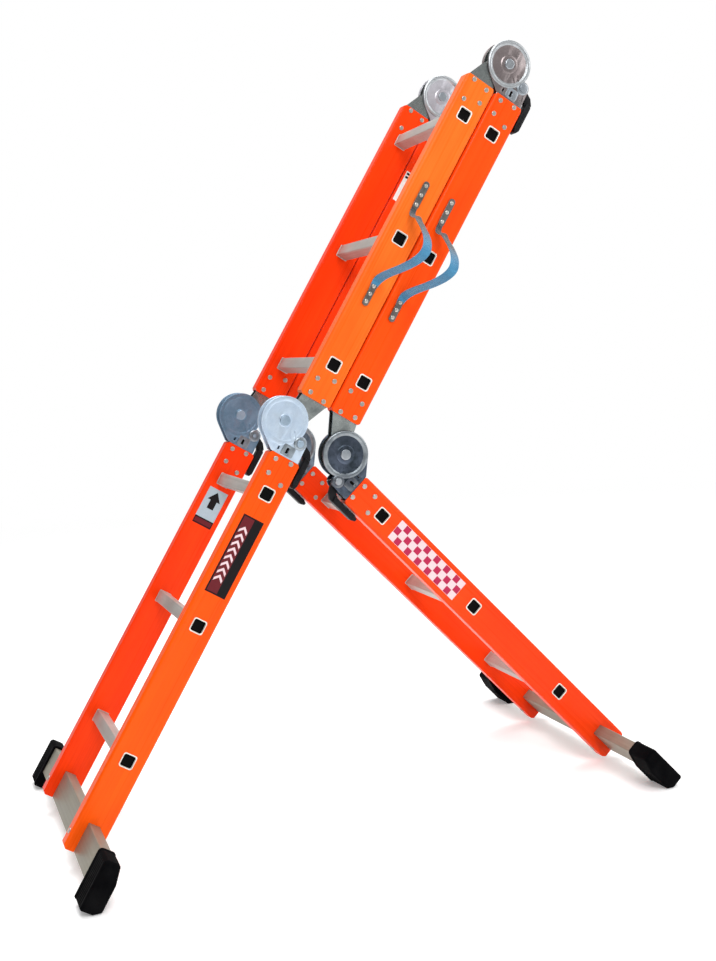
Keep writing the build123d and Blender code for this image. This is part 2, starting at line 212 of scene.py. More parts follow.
def turned(profile, cx, cz, side, steps=48):
    """Revolve (radius, depth) points, in millimetres, about a line along y through (cx, cz)."""
    shape = bmesh.new()
    rings = []
    for radius, w in profile:
        ring = []
        for i in range(steps):
            a = 2 * math.pi * i / steps
            x = (cx + radius * math.cos(a)) * MM
            z = (cz + radius * math.sin(a)) * MM
            ring.append(shape.verts.new((x, side * (HALF - w * MM), z)))
        rings.append(ring)
    for inner, outer in zip(rings, rings[1:]):
        for i in range(steps):
            k = (i + 1) % steps
            shape.faces.new((inner[i], inner[k], outer[k], outer[i]))
    return shape


def loft(rings, close_ends=(True, True)):
    """Skin closed rings that all have the same number of points."""
    shape = bmesh.new()
    made = [[shape.verts.new(point) for point in ring] for ring in rings]
    for a, b in zip(made, made[1:]):
        count = len(a)
        for i in range(count):
            k = (i + 1) % count
            shape.faces.new((a[i], a[k], b[k], b[i]))
    if close_ends[0]:
        shape.faces.new(made[0])
    if close_ends[1]:
        shape.faces.new(made[-1])
    return shape


def quad(points):
    shape = bmesh.new()
    shape.faces.new([shape.verts.new(point) for point in points])
    return shape


# ---- materials ----
COAT_ROUGHNESS = 0.12


def shader(name, colour, roughness, metallic=0.0, coat=0.0, specular=0.5):
    """A material with a Principled shader, its node tree and that shader."""
    material = bpy.data.materials.new(name)
    material.use_nodes = True
    tree = material.node_tree
    surface = tree.nodes["Principled BSDF"]
    surface.inputs["Base Color"].default_value = (*colour, 1)
    surface.inputs["Roughness"].default_value = roughness
    surface.inputs["Metallic"].default_value = metallic
    surface.inputs["Coat Weight"].default_value = coat
    surface.inputs["Coat Roughness"].default_value = COAT_ROUGHNESS
    surface.inputs["Specular IOR Level"].default_value = specular
    return material, tree, surface


def coordinates(tree, scale, tilt=0.0):
    """Object coordinates, turned about y and then scaled."""
    where = tree.nodes.new("ShaderNodeTexCoord")
    turn = tree.nodes.new("ShaderNodeMapping")
    turn.inputs["Rotation"].default_value = (0, tilt, 0)
    tree.links.new(where.outputs["Object"], turn.inputs["Vector"])
    stretch = tree.nodes.new("ShaderNodeMapping")
    stretch.inputs["Scale"].default_value = scale
    tree.links.new(turn.outputs["Vector"], stretch.inputs["Vector"])
    return stretch.outputs["Vector"]


def noise(tree, vector, detail, rough=0.55):
    """Noise over coordinates that already carry their scale."""
    node = tree.nodes.new("ShaderNodeTexNoise")
    node.inputs["Scale"].default_value = 1.0
    node.inputs["Detail"].default_value = detail
    node.inputs["Roughness"].default_value = rough
    tree.links.new(vector, node.inputs["Vector"])
    return node.outputs["Fac"]


def ramp(tree, value, low, high, start=0.3, end=0.7):
    """Map a value to a number between low and high, or to a colour between the two."""
    node = tree.nodes.new("ShaderNodeMapRange")
    node.inputs["From Min"].default_value = start
    node.inputs["From Max"].default_value = end
    tree.links.new(value, node.inputs["Value"])
    if isinstance(low, (int, float)):
        node.inputs["To Min"].default_value = low
        node.inputs["To Max"].default_value = high
        return node.outputs["Result"]
    mix = tree.nodes.new("ShaderNodeMix")
    mix.data_type = "RGBA"
    mix.inputs["A"].default_value = (*low, 1)
    mix.inputs["B"].default_value = (*high, 1)
    tree.links.new(node.outputs["Result"], mix.inputs["Factor"])
    return mix.outputs["Result"]


def multiply(tree, colour_a, colour_b):
    node = tree.nodes.new("ShaderNodeMix")
    node.data_type = "RGBA"
    node.blend_type = "MULTIPLY"
    node.inputs["Factor"].default_value = 1.0
    tree.links.new(colour_a, node.inputs["A"])
    tree.links.new(colour_b, node.inputs["B"])
    return node.outputs["Result"]


def bump(tree, surface, height, distance, strength):
    node = tree.nodes.new("ShaderNodeBump")
    node.inputs["Strength"].default_value = strength
    node.inputs["Distance"].default_value = distance
    tree.links.new(height, node.inputs["Height"])
    tree.links.new(node.outputs["Normal"], surface.inputs["Normal"])


def blend_heights(tree, a, b, share):
    """Height a with a share of height b on top."""
    node = tree.nodes.new("ShaderNodeMath")
    node.operation = "MULTIPLY_ADD"
    node.inputs[1].default_value = share
    tree.links.new(b, node.inputs[0])
    tree.links.new(a, node.inputs[2])
    return node.outputs[0]


def fibreglass(number, side, low, high):
    """Glossy pultruded fibreglass: glass strands run along the stile under a clear gel."""
    name = f"fibreglass_{number}_{side}"
    material, tree, surface = shader(name, low, 0.3, coat=0.03, specular=0.1)
    up = PLACES[number].to_3x3().col[0]
    tilt = -math.atan2(up.x, up.z)
    strands = noise(tree, coordinates(tree, (900, 900, 6), tilt), 3.0)
    bundles = noise(tree, coordinates(tree, (220, 220, 2.2), tilt), 4.0, 0.6)
    cloud = noise(tree, coordinates(tree, (7, 7, 2), tilt), 3.0)
    specks = noise(tree, coordinates(tree, (260, 260, 260)), 2.0)
    base = ramp(tree, cloud, low, high, 0.35, 0.65)
    fine = ramp(tree, strands, (0.93, 0.86, 0.84), (1.0, 1.0, 1.0), 0.3, 0.62)
    broad = ramp(tree, bundles, (0.94, 0.86, 0.80), (1.0, 1.0, 1.0), 0.28, 0.6)
    colour = multiply(tree, multiply(tree, base, fine), broad)
    tree.links.new(colour, surface.inputs["Base Color"])
    tree.links.new(ramp(tree, bundles, 0.24, 0.42), surface.inputs["Roughness"])
    bump(tree, surface, blend_heights(tree, strands, specks, 0.35), 0.00006, 0.55)
    return material


def drawn_aluminium(name, colour, dull):
    """Satin extruded tube: fine lines along y, faint stains and handling marks."""
    material, tree, surface = shader(name, colour, 0.45, metallic=0.55, specular=0.4)
    lines = noise(tree, coordinates(tree, (1400, 5, 1400)), 3.0)
    wide = noise(tree, coordinates(tree, (260, 1.6, 260)), 4.0)
    stains = noise(tree, coordinates(tree, (22, 9, 22)), 5.0, 0.65)
    tone = ramp(tree, stains, dull, colour, 0.3, 0.62)
    shade = ramp(tree, wide, (0.88, 0.88, 0.88), (1.0, 1.0, 1.0), 0.3, 0.6)
    tree.links.new(multiply(tree, tone, shade), surface.inputs["Base Color"])
    tree.links.new(ramp(tree, stains, 0.36, 0.54), surface.inputs["Roughness"])
    bump(tree, surface, blend_heights(tree, lines, wide, 0.5), 0.00005, 0.6)
    return material


def zinc(name, colour, dark, roughness=0.24):
    """Bright zinc plate on pressed steel: soft mottling, fine rubs and pinhead pits."""
    material, tree, surface = shader(name, colour, roughness, metallic=1.0)
    cloud = noise(tree, coordinates(tree, (38, 38, 38)), 5.0, 0.6)
    rubs = noise(tree, coordinates(tree, (90, 700, 1100), 0.6), 3.0)
    grain = noise(tree, coordinates(tree, (1500, 1500, 1500)), 2.0)
    tone = ramp(tree, cloud, dark, colour, 0.34, 0.6)
    shade = ramp(tree, rubs, (0.9, 0.9, 0.9), (1.0, 1.0, 1.0), 0.3, 0.5)
    tree.links.new(multiply(tree, tone, shade), surface.inputs["Base Color"])
    finish = ramp(tree, cloud, roughness + 0.12, roughness - 0.04)
    tree.links.new(finish, surface.inputs["Roughness"])
    bump(tree, surface, blend_heights(tree, cloud, grain, 0.05), 0.0004, 0.35)
    return material


def black_paint():
    """Powder coat: near black, orange peel, duller where it is handled."""
    material, tree, surface = shader("black_paint", (0.006, 0.006, 0.007), 0.45, specular=0.16)
    peel = noise(tree, coordinates(tree, (420, 420, 420)), 2.0)
    wear = noise(tree, coordinates(tree, (60, 60, 60)), 5.0)
    tone = ramp(tree, wear, (0.003, 0.003, 0.004), (0.011, 0.011, 0.013), 0.4, 0.75)
    tree.links.new(tone, surface.inputs["Base Color"])
    tree.links.new(ramp(tree, wear, 0.36, 0.56), surface.inputs["Roughness"])
    bump(tree, surface, peel, 0.00012, 0.6)
    return material


def black_rubber():
    """Moulded rubber: matt, with a fine spark-eroded grain and a dusty bloom."""
    material, tree, surface = shader("black_rubber", (0.003, 0.003, 0.003), 0.75, specular=0.02)
    grain = noise(tree, coordinates(tree, (900, 900, 900)), 3.0)
    bloom = noise(tree, coordinates(tree, (30, 30, 30)), 5.0)
    tone = ramp(tree, bloom, (0.0015, 0.0015, 0.002), (0.006, 0.006, 0.0065), 0.42, 0.78)
    tree.links.new(tone, surface.inputs["Base Color"])
    tree.links.new(ramp(tree, bloom, 0.6, 0.8), surface.inputs["Roughness"])
    bump(tree, surface, grain, 0.00015, 0.5)
    return material


def shade_black():
    """Near-black fill for rung mouths and cover slots: painted shade, with a fine even grain."""
    material, tree, surface = shader("shade_black", (0.004, 0.004, 0.004), 0.65, specular=0.03)
    grain = noise(tree, coordinates(tree, (700, 700, 700)), 3.0)
    tree.links.new(ramp(tree, grain, 0.42, 0.6), surface.inputs["Roughness"])
    tree.links.new(ramp(tree, grain, (0.002, 0.002, 0.002), (0.006, 0.005, 0.005)),
                   surface.inputs["Base Color"])
    bump(tree, surface, grain, 0.0001, 0.4)
    return material


SHADE_FADE_START = 0.175        # along the strap from its upper end: painted shade, a dark grey, fades into the blue webbing
SHADE_FADE_END = 0.235
SHEEN_WEIGHT = 0.35
SHEEN_ROUGHNESS = 0.4
YARN_SLANT = 0.55        # radians either way from straight across
YARN_SCALE = 620
YARN_BANDS = 0.42
YARN_WOBBLE = 0.6


def webbing():
    """Narrow woven webbing: rows of slanted yarn across, drawn from the strap's own UVs."""
    material, tree, surface = shader("webbing", (0.06, 0.24, 0.42), 0.75, specular=0.3)
    surface.inputs["Sheen Weight"].default_value = SHEEN_WEIGHT
    surface.inputs["Sheen Roughness"].default_value = SHEEN_ROUGHNESS
    where = tree.nodes.new("ShaderNodeUVMap")
    where.uv_map = "strap"
    rows = []
    for angle in (YARN_SLANT, -YARN_SLANT):
        turn = tree.nodes.new("ShaderNodeMapping")
        turn.inputs["Rotation"].default_value = (0, 0, angle)
        turn.inputs["Scale"].default_value = (YARN_SCALE, YARN_SCALE, 1)
        tree.links.new(where.outputs["UV"], turn.inputs["Vector"])
        wave = tree.nodes.new("ShaderNodeTexWave")
        wave.bands_direction = "X"
        wave.inputs["Scale"].default_value = YARN_BANDS
        wave.inputs["Distortion"].default_value = YARN_WOBBLE
        tree.links.new(turn.outputs["Vector"], wave.inputs["Vector"])
        rows.append(wave.outputs["Fac"])
    weave = tree.nodes.new("ShaderNodeMath")
    weave.operation = "MULTIPLY"
    tree.links.new(rows[0], weave.inputs[0])
    tree.links.new(rows[1], weave.inputs[1])
    fade = noise(tree, coordinates(tree, (40, 40, 40)), 5.0)
    blue = ramp(tree, weave.outputs[0], (0.035, 0.16, 0.30), (0.12, 0.42, 0.66), 0.0, 0.7)
    # Painted shade: the upper stretch of the strap is a dark grey copy of the weave, which gives
    # way to the blue along the strap.
    grey = ramp(tree, weave.outputs[0], (0.035, 0.042, 0.048), (0.11, 0.13, 0.14), 0.0, 0.7)
    along = tree.nodes.new("ShaderNodeSeparateXYZ")
    tree.links.new(where.outputs["UV"], along.inputs["Vector"])
    change = ramp(tree, along.outputs["X"], 0.0, 1.0, SHADE_FADE_START, SHADE_FADE_END)
    shade_mix = tree.nodes.new("ShaderNodeMix")
    shade_mix.data_type = "RGBA"
    tree.links.new(change, shade_mix.inputs["Factor"])
    tree.links.new(grey, shade_mix.inputs["A"])
    tree.links.new(blue, shade_mix.inputs["B"])
    yarn = shade_mix.outputs["Result"]
    worn = ramp(tree, fade, (0.72, 0.76, 0.8), (1.0, 1.0, 1.0))
    tree.links.new(multiply(tree, yarn, worn), surface.inputs["Base Color"])
    bump(tree, surface, weave.outputs[0], 0.0004, 0.8)
    return material


INK_ROUGHNESS = (0.30, 0.47)
INK_FADE = 0.86          # the darker share of an ink's colour in its grain


def printed(name, colour):
    """Vinyl sticker ink, with a faint screen grain."""
    material, tree, surface = shader(name, colour, 0.35, coat=0.03, specular=0.14)
    grain = noise(tree, coordinates(tree, (900, 900, 900)), 2.0)
    faded = tuple(c * INK_FADE for c in colour)
    tree.links.new(ramp(tree, grain, faded, colour), surface.inputs["Base Color"])
    tree.links.new(ramp(tree, grain, *INK_ROUGHNESS), surface.inputs["Roughness"])
    return material


# Painted light and shade: the near stiles get lit copies of one orange, lightest on section 2,
# and the far stiles get a shaded copy.
LIT_NEAR_ORANGE = {
    1: ((0.88, 0.075, 0.002), (0.97, 0.108, 0.003)),
    2: ((0.88, 0.125, 0.010), (0.96, 0.190, 0.022)),
    3: ((0.88, 0.062, 0.003), (0.97, 0.090, 0.004)),
    4: ((0.86, 0.046, 0.003), (0.95, 0.068, 0.005)),
}
SHADED_FAR_ORANGE = ((0.86, 0.034, 0.001), (0.94, 0.052, 0.002))
GLASS = {}
for number in SECTIONS:
    GLASS[number, "left"] = fibreglass(number, "left", *LIT_NEAR_ORANGE[number])
    GLASS[number, "right"] = fibreglass(number, "right", *SHADED_FAR_ORANGE)
RUNG_METAL = drawn_aluminium("rung_aluminium", (0.50, 0.48, 0.45), (0.38, 0.36, 0.33))
# Painted shade: the bars get a darker, warmer copy of the aluminium, matched to their shaded
# broad faces.
SHADED_BAR_METAL = drawn_aluminium("bar_aluminium", (0.33, 0.31, 0.25), (0.25, 0.23, 0.18))
# Painted highlight: the outer rims get a much brighter copy of the aluminium than the tube and
# its inner collars.
RIM_HIGHLIGHT_METAL = drawn_aluminium("rim_aluminium", (0.84, 0.80, 0.74), (0.72, 0.67, 0.60))
PLATE_ZINC = zinc("hinge_zinc", (0.40, 0.43, 0.46), (0.25, 0.28, 0.31), 0.3)
# The tints stand in for what the cover plates reflect in the photograph.
FACE_ZINC = {
    (f"{hinge}_hinge", side): zinc(f"{hinge}_{side}_zinc", colour, dark, roughness)
    for hinge, side, colour, dark, roughness in (
        ("middle", "left", (0.54, 0.64, 0.75), (0.44, 0.54, 0.66), 0.4),
        ("middle", "right", (0.20, 0.30, 0.41), (0.12, 0.20, 0.28), 0.38),
        ("top", "left", (0.31, 0.27, 0.27), (0.19, 0.16, 0.16), 0.28),
        ("top", "right", (0.50, 0.49, 0.53), (0.36, 0.35, 0.38), 0.36),
        ("rear", "left", (0.09, 0.11, 0.15), (0.03, 0.04, 0.05), 0.3),
        ("rear", "right", (0.16, 0.20, 0.25), (0.07, 0.09, 0.12), 0.32),
    )
}
# Painted reflection as well: the rims of the top and rear hinges are their own grey copies of
# the zinc, darker on the rear hinge.
TRIM_ZINC = {
    "middle_hinge": None,        # as its face
    "top_hinge": zinc("top_rim_zinc", (0.46, 0.48, 0.50), (0.30, 0.32, 0.33), 0.34),
    "rear_hinge": zinc("rear_rim_zinc", (0.30, 0.33, 0.35), (0.15, 0.17, 0.19), 0.34),
}
# Painted reflection: the ear bosses and raised pads of the middle and rear hinges are darker
# copies of the zinc.
DETAIL_ZINC = {
    "middle_hinge": zinc("middle_ear_zinc", (0.32, 0.37, 0.41), (0.19, 0.22, 0.25), 0.3),
    "top_hinge": PLATE_ZINC,
    "rear_hinge": zinc("rear_ear_zinc", (0.19, 0.21, 0.23), (0.08, 0.09, 0.11), 0.28),
}
INDEX_ZINC = zinc("index_zinc", (0.36, 0.39, 0.38), (0.18, 0.20, 0.20))
# Warm grey: the zinc's own grey, with its warmth a painted reflection of the orange stiles.
RIVET_METAL = zinc("rivet_zinc", (0.50, 0.47, 0.43), (0.34, 0.32, 0.29), 0.32)
PIN_METAL = zinc("pivot_steel", (0.36, 0.46, 0.56), (0.26, 0.34, 0.42), 0.4)
STRIP_METAL = zinc("strip_steel", (0.17, 0.16, 0.15), (0.09, 0.085, 0.08), 0.4)
SPRING_METAL = zinc("spring_steel", (0.55, 0.55, 0.56), (0.40, 0.40, 0.42), 0.28)
PAINT = black_paint()
RUBBER = black_rubber()
SHADE_FILL = shade_black()
WEBBING = webbing()
INK_BLACK = printed("ink_black", (0.005, 0.004, 0.005))
INK_RED = printed("ink_red", (0.13, 0.012, 0.018))
INK_ROSE = printed("ink_rose", (0.46, 0.020, 0.075))
INK_PALE = printed("ink_pale", (0.80, 0.60, 0.63))
INK_WHITE = printed("ink_white", (0.78, 0.77, 0.76))
INK_COOL = printed("ink_cool", (0.40, 0.50, 0.56))


# The first word that a node's name holds decides its material.
NODE_LOOKS = (
    ("rung", RUNG_METAL), ("stabiliser_bar", SHADED_BAR_METAL), ("boot", RUBBER),
    ("clamps", STRIP_METAL), ("strap", WEBBING), ("index", INDEX_ZINC),
    ("springs", RIVET_METAL), ("latch", PAINT), ("middle_hinge_pins", PIN_METAL),
    ("hinge_pins", PLATE_ZINC), ("", RIVET_METAL),
)


def material_of(node):
    if "stile" in node:
        return GLASS[int(node[7]), node.split("_")[-1]]
    return next(material for word, material in NODE_LOOKS if word in node)


for node_name, node_object in frame["nodes"].items():
    node_object.data.materials.clear()
    node_object.data.materials.append(material_of(node_name))


# ---- rungs ----
RUNG_HALF = 12.5
RUNG_BORE = 11.6
RIM_HALF = 14.2
GROOVES = 6
GROOVE_DEPTH = 0.4
GROOVE_PITCH = 3.2
GROOVE_EDGES = (-0.75, -0.4, 0.4, 0.75)
SHADE_PLUG_DEEPEST = -14.0
BORE_DEEPEST = -16.0


def rung_ring(half, y, groove=0.0, corner=2.0):
    """One ring round a square tube, millimetres, with grooves along the two tread faces."""
    points = []
    flat = half - corner
    marks = [-flat]
    for i in range(GROOVES):
        middle = (i - (GROOVES - 1) / 2) * GROOVE_PITCH
        marks += [middle + edge for edge in GROOVE_EDGES]
    marks.append(flat)
    for face in range(4):
        turn = Matrix.Rotation(math.radians(90 * face), 2)
        for k, along in enumerate(marks):
            inside = 0 < k < len(marks) - 1 and (k - 1) % 4 in (1, 2)
            depth = groove if inside and face % 2 == 0 else 0.0
            along = max(-flat, min(flat, along))
            points.append(turn @ Vector((half - depth, along)))
        for step in (1, 2, 3):
            a = math.radians(step * 22.5)
            bend = Vector((flat + corner * math.cos(a), flat + corner * math.sin(a)))
            points.append(turn @ bend)
    return [(p.x * MM, y * MM, p.y * MM) for p in points]


def rung_mesh():
    """Square tube with a small rolled collar on the inner face of each stile."""
    face = HALF / MM
    back = face - STILE_DEPTH
    inner = [(-3.0, RUNG_HALF, 2), (-1.2, RUNG_HALF, 2), (-1.1, 13.0, 2.2), (-0.8, 13.5, 2.4),
             (-0.4, 13.7, 2.5), (0.0, 13.6, 2.4), (0.1, RUNG_HALF, 2)]
    run = [(back + depth, half, GROOVE_DEPTH if depth < -2.5 else 0, corner)
           for depth, half, corner in inner]
    run.append((face - 0.5, RUNG_HALF, 0, 2))
    stations = [(-y, half, g, c) for y, half, g, c in reversed(run)] + run
    return loft([rung_ring(h, y, g, c) for y, h, g, c in stations], (False, False))


def rim_mesh(sign):
    """Rolled outer rim with rounded corners, and the mouth of the tube inside it."""
    face = HALF / MM
    rim = RIM_HALF
    steps = [(-0.6, RUNG_HALF, 2.0), (0.0, rim - 0.3, 4.6), (0.4, rim, 4.8),
             (0.9, rim - 0.15, 4.8), (1.25, rim - 0.5, 4.5), (1.4, rim - 1.0, 4.2),
             (1.3, rim - 1.7, 3.8), (0.8, rim - 2.4, 3.5), (-1.0, RUNG_BORE, 3.3),
             (BORE_DEEPEST, RUNG_BORE, 3.3)]
    rings = [rung_ring(h, sign * (face + depth), 0, c) for depth, h, c in steps]
    return loft(rings, (False, False))


def shade_plug_mesh(sign):
    """Near-black insert set back in the tube, with a dished face: painted shade in the tube's
    open mouth.
    """
    face = HALF / MM
    steps = [(SHADE_PLUG_DEEPEST, 11.1, 3.0), (-2.6, 11.5, 3.2), (-2.0, 11.3, 3.2), (-1.8, 10.8, 3.0),
             (-2.0, 10.1, 2.8), (-3.4, 9.5, 2.6), (-3.8, 8.8, 2.4)]
    rings = [rung_ring(h, sign * (face + depth), 0, c) for depth, h, c in steps]
    return loft(rings)


for number in SECTIONS:
    for step in range(3):
        node = f"section{number}_rung_{step + 1}"
        place = PLACES[number] @ Matrix.Translation((step * PITCH, 0, 0))
        rung = Piece(f"section{number}_swaged_rung_{step + 1}", place)
        rung.add(rung_mesh(), RUNG_METAL)
        for sign in (-1, 1):
            rung.add(rim_mesh(sign), RIM_HIGHLIGHT_METAL)
        rung.finish(f"section{number}", "aluminium", [node], 50)
        # Painted shade: a near-black insert closes each end of the tube, where the open rung is
        # dark inside.
        shade_plugs = Piece(f"section{number}_rung_plugs_{step + 1}", place)
        for sign in (-1, 1):
            shade_plugs.add(shade_plug_mesh(sign), SHADE_FILL)
        shade_plugs.finish(f"section{number}", "black_rubber")


# ---- boots ----
BAR_X = -160.0
BOOT_CORNERS = [(-62, 17), (35, 17), (35, -15), (-1, -24), (-62, -24)]
BOOT_SOLE_CUT = 8.0
BAR_HALF_HEIGHT = 30.0
BAR_HALF_THICK = 12.0
BAR_GAP = 0.2            # between the bar and the boot's mouth
BOOT_MIDDLE = (-20, -3)  # the tread's grooves are cut towards this point
TREAD_START = 34         # below the bar's middle
TREAD_BLEND = 10
TREAD_GROOVES = 5
TREAD_PITCH = 9.0
TREAD_DEPTH = 2.2
BOOT_ROUND = 6           # radius of the outer end's rounding


def clipped(points, normal, limit):
    """Cut a closed outline off beyond a straight line."""
    result = []
    for i, point in enumerate(points):
        here = Vector(point)
        after = Vector(points[(i + 1) % len(points)])
        a = here.dot(normal) - limit
        b = after.dot(normal) - limit
        if a <= 0:
            result.append(tuple(here))
        if a * b < 0:
            result.append(tuple(here + (after - here) * (a / (a - b))))
    return result


def shrunk(points, amount):
    """Move every side of a closed outline inwards."""
    area = sum(points[i - 1][0] * p[1] - p[0] * points[i - 1][1] for i, p in enumerate(points))
    turn = 1 if area > 0 else -1
    result = []
    count = len(points)
    for i in range(count):
        here = Vector(points[i])
        last = (here - Vector(points[i - 1])).normalized()
        after = (Vector(points[(i + 1) % count]) - here).normalized()
        n0 = Vector((-last.y, last.x)) * turn
        n1 = Vector((-after.y, after.x)) * turn
        mitre = (n0 + n1).normalized()
        result.append(tuple(here + mitre * amount / max(0.3, mitre.dot(n0))))
    return result


def boot_ring(corners, y, inset, tread=0.0):
    """One ring of a boot, millimetres; tread cuts only into the sole's end."""
    radii = [max(1.5, 8 - inset) if abs(c[0]) < 60 and abs(c[1]) < 23.9 else 4 for c in corners]
    points = rounded(shrunk(corners, inset), radii, 6)
    ring = []
    for x, z in points:
        depth = tread * min(1.0, max(0.0, (-x - TREAD_START) / TREAD_BLEND))
        toward = (Vector(BOOT_MIDDLE) - Vector((x, z))).normalized() * depth
        ring.append(((BAR_X + x + toward.x) * MM, y * MM, (z + toward.y) * MM))
    return ring


def boot_mesh(number, sign):
    lean = PLACES[number].to_3x3().col[0]
    down = Vector((-lean.z, -abs(lean.x)))
    limit = 62 * lean.z + 24 * abs(lean.x) - BOOT_SOLE_CUT
    corners = clipped(BOOT_CORNERS, down, limit)
    start = BOOT_START / MM
    end = BOOT_END / MM
    collar = [(0.0, 1.6), (0.4, 0.7), (1.4, 0.0), (5.5, 0.0), (6.6, 0.6), (7.4, 1.3)]
    stations = [(start + y, inset, 0.0) for y, inset in collar]
    for groove in range(TREAD_GROOVES):
        y = start + 14 + groove * TREAD_PITCH
        stations += [(y + off, 1.0, depth) for off, depth in
                     ((-1.9, 0), (-1.3, TREAD_DEPTH), (1.3, TREAD_DEPTH), (1.9, 0))]
    for k in range(6):
        a = math.radians(90 * k / 5)
        stations.append((end - BOOT_ROUND * (1 - math.sin(a)),
                         1.0 + BOOT_ROUND * (1 - math.cos(a)), 0))
    rings = [boot_ring(corners, sign * y, inset, tread) for y, inset, tread in stations]
    mouth = []
    high = BAR_HALF_HEIGHT + BAR_GAP
    thick = BAR_HALF_THICK + BAR_GAP
    for x, y, z in rings[0]:
        x = min(max(x / MM - BAR_X, -high), high) + BAR_X
        z = min(max(z / MM, -thick), thick)
        mouth.append((x * MM, y + sign * 0.6 * MM, z * MM))
    return loft([mouth] + rings, (False, True))


for number in (1, 4):
    for side in SIDES:
        sign = side_sign(number, side)
        boot = Piece(f"section{number}_rubber_boot_{side}", PLACES[number])
        boot.add(boot_mesh(number, sign), RUBBER)
        boot.finish(f"section{number}", "black_rubber", [f"section{number}_boot_{side}"], 45)


# ---- hinges, in millimetres about the axis, own stile towards -x, latch at -z ----
DISC = 47.0
PIN = (-25.0, -48.0)
EAR = 14.0
STILE_END = -61.5
SLOT = (-50.0, -31.0)
COVER_DEPTHS = (0.8, 3.8)                # of the plate, from the stile's outer face
RAISED_DEPTHS = (-0.3, 1.4)
BEAD_DEPTHS = (0.0, 1.4)
SLOT_DEPTHS = (2.0, 3.6)
PIVOT_BORE = 8.2
LATCH_BORE = 4.2
LEVER_DEPTHS = (8.0, 18.5)
RIDGES = 6
RIDGE_PITCH = 6.5
STILE_RIVETS = ((68.0, -50.0), (72.0, -18.0), (102.0, -18.0), (113.0, -51.0))


def cover_outline():
    """Disc, ear and neck of a cover plate as one closed line."""
    reach = math.hypot(STILE_END, 2)
    first = math.degrees(math.atan2(-2, STILE_END)) % 360 - math.degrees(math.acos(DISC / reach))
    points = [(STILE_END, -2.0)]
    points += arc(0, 0, DISC, first, -103.8, 72)
    points += arc(*PIN, EAR, 9.0, -100, 14)
    points.append((STILE_END, -63.0))
    return points


def slot_outline(x, z, length, width):
    half = width / 2
    run = length / 2 - half
    return arc(x + run, z, half, -90, 90, 8) + arc(x - run, z, half, 90, 270, 8)


def cover_face(piece, sign, hinge, side, inner):
    """One cover plate's visible face: disc, ear and neck with their pressed features."""
    face = FACE_ZINC[hinge, side]
    trim = TRIM_ZINC[hinge] or face

    def level(w):
        return STILE_DEPTH - w if inner else w

    def sheet(outlines, w0, w1, edge, metal):
        low, high = sorted((level(w0), level(w1)))
        piece.add(plate(outlines, low, high, sign, edge), metal)

    bores = [arc(0, 0, PIVOT_BORE, 0, 345, 23), arc(*PIN, LATCH_BORE, 0, 330, 11)]
    slots = [slot_outline(*SLOT, 15, 5.0), slot_outline(-51, -13, 8, 3.6)]
    sheet([cover_outline()] + bores + slots, *COVER_DEPTHS, 0.6, face)
    flat = hinge == "middle_hinge"
    drop = 0.3 if flat else 1.0
    rim = [(36.0, 1.2), (37.2, 0.8 - 0.1 * drop), (38.4, 0.8 - 0.8 * drop),
           (39.4, 0.8 - 1.5 * drop), (40.8, 0.8 - 1.95 * drop), (42.6, 0.8 - 2.0 * drop),
           (44.6, 0.8 - 1.9 * drop), (46.0, 0.8 - 1.4 * drop), (46.8, 0.8 - 0.6 * drop),
           (47.0, 1.4)]
    piece.add(turned([(r, level(w)) for r, w in rim], 0, 0, sign, 96), trim)
    pad = [(19.0, 1.0), (18.0, 0.55), (17.0, 0.1), (15.6, -0.15), (12.0, -0.2),
           (PIVOT_BORE, -0.2)]
    if flat:
        pad = [(13.0, 1.0), (12.6, 0.3), (12.0, -0.1), (11.2, -0.2), (PIVOT_BORE, -0.2)]
    piece.add(turned([(r, level(w)) for r, w in pad], 0, 0, sign), face)
    boss = [(13.4, 1.2), (13.0, 0.4), (12.2, -0.5), (10.8, -1.1), (9.4, -1.2),
            (LATCH_BORE, -1.2)]
    piece.add(turned([(r, level(w)) for r, w in boss], *PIN, sign, 36), DETAIL_ZINC[hinge])
    raised = box_outline(-59, -37, -46, -20, 4)
    sheet([raised, slot_outline(*SLOT, 15, 5.0)], *RAISED_DEPTHS, 0.7, DETAIL_ZINC[hinge])
    spin = Matrix.Rotation(math.radians(35), 2)
    for x, z in ((-20, -24), (-13, -31)):
        bead = [tuple(spin @ Vector(point) + Vector((x, z)))
                for point in slot_outline(0, 0, 15, 3.2)]
        sheet([bead], *BEAD_DEPTHS, 0.6, face)
    # Painted shade: a near-black sheet set in the large slot stands for the dark inside of the
    # slot.
    sheet([slot_outline(*SLOT, 16, 6.0)], *SLOT_DEPTHS, 0.2, SHADE_FILL)


def cover_piece(hinge, side):
    section = HINGES[hinge]
    sign = side_sign(section, side)
    piece = Piece(f"{hinge}_stamped_covers_{side}", hinge_place(hinge))
    holes = [arc(-x, z, 3.2, 0, 330, 11) for x, z in STILE_RIVETS]
    riser = box_outline(STILE_END + 0.1, -54, -62.5, -7.5, 1)
    tang = box_outline(-121, -54.2, -62.2, -7.8, 2)
    for inner, riser_depths, tang_depths in ((False, (1.9, 6.9), (4.05, 7.0)),
                                             (True, (23.9, 28.1), (23.9, 26.75))):
        cover_face(piece, sign, hinge, side, inner)
        piece.add(plate([riser], *riser_depths, sign, 0.3), PLATE_ZINC)
        piece.add(plate([tang] + holes, *tang_depths, sign, 0.3), PLATE_ZINC)
    piece.finish(f"section{section}", "zinc_steel", [f"{hinge}_covers_{side}"])


